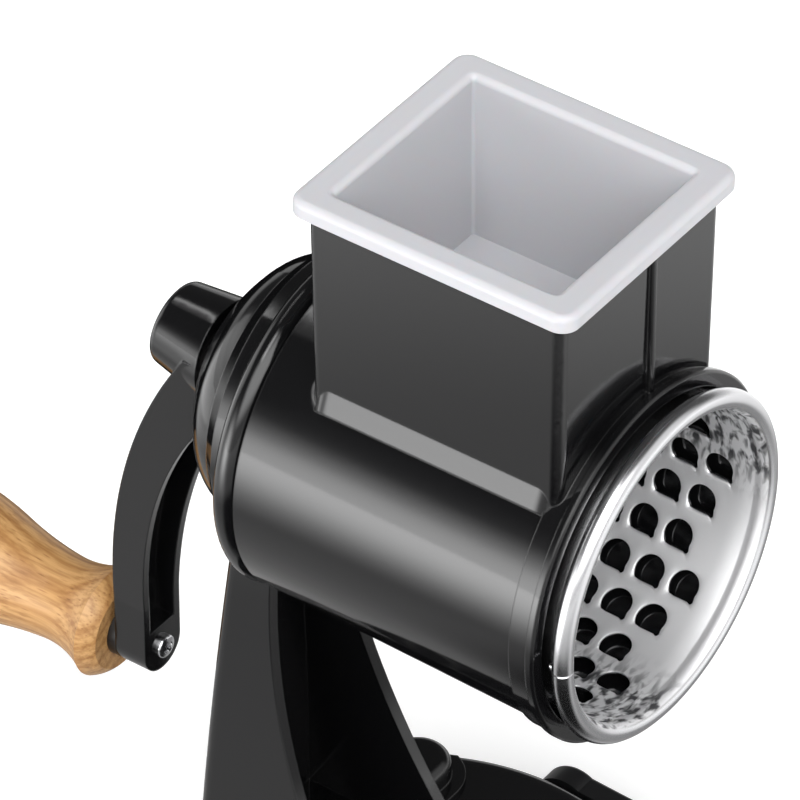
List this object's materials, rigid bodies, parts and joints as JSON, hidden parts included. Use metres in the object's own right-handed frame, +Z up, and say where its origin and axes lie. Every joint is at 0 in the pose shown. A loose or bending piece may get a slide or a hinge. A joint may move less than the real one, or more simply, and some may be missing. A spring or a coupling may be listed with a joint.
{
  "type": "rotary cabbage shredder",
  "caption": "Hand-cranked rotary drum shredder with a hopper and pusher, on one leg and a round suction base.",
  "frame": {"origin": "centre of the suction cup's flat underside, on the table", "axes": "+Z up, +X towards the open mouth of the drum, along the crank's axis"},
  "size_m": [0.2794, 0.1541, 0.298],
  "materials": {
    "black_enamel": "glossy black coating",
    "black_rubber": "matt",
    "black_plastic": "satin",
    "zinc_steel": "satin",
    "stainless_sheet": "bright, fine grain",
    "white_nylon": "satin",
    "grey_plastic": "satin",
    "beech": "oiled"
  },
  "bodies": {
    "stand": {"base_shell": "black_enamel", "suction_cup": "black_rubber", "stand_leg": "black_enamel", "leg_screws": "zinc_steel", "rear_bush": "white_nylon", "front_bush": "white_nylon", "barrel_hopper": "black_enamel", "housing_screws": "zinc_steel"},
    "crank": {"crank_arm": "black_enamel", "drive_shaft": "zinc_steel", "retaining_ring": "zinc_steel", "crank_screw": "zinc_steel", "grip_spacer": "black_plastic", "grip_spindle": "zinc_steel", "grip_washer": "zinc_steel", "handle_screw": "stainless_sheet"},
    "grip": {"wooden_grip": "beech", "grip_plug": "beech"},
    "drum": {"drum_shell": "stainless_sheet", "drum_back": "stainless_sheet", "drum_hub": "zinc_steel", "drum_rivets": "stainless_sheet"},
    "pusher_body": {"pusher": "grey_plastic"},
    "lever": {"lever_rod": "zinc_steel", "suction_lever": "black_plastic", "lever_screw": "zinc_steel"},
    "cup_stud": {"pull_stud": "zinc_steel", "cup_plate": "zinc_steel"}
  },
  "joints": [
    {"name": "crank_turn", "type": "hinge", "parent": "stand", "child": "crank", "pos_m": [-0.04, 0, 0.194], "axis": [1, 0, 0], "continuous": true},
    {"name": "grip_spin", "type": "hinge", "parent": "crank", "child": "grip", "pos_m": [-0.15, 0, 0.0815], "axis": [1, 0, 0], "continuous": true},
    {"name": "drum_pull", "type": "slide", "parent": "crank", "child": "drum", "axis": [1, 0, 0], "range_m": [0, 0.11]},
    {"name": "pusher_lift", "type": "slide", "parent": "stand", "child": "pusher_body", "axis": [0, 0, 1], "range_m": [0, 0.075]},
    {"name": "lever_turn", "type": "hinge", "parent": "stand", "child": "lever", "pos_m": [0, 0.06, 0.0135], "axis": [0, -1, 0], "range_deg": [0, 180]},
    {"name": "stud_lift", "type": "slide", "parent": "stand", "child": "cup_stud", "axis": [0, 0, 1], "range_m": [0, 0.003]}
  ],
  "couplings": [
    {"joint": "lever_turn", "follows": "stud_lift", "rad_per_m": 1047.2}
  ]
}
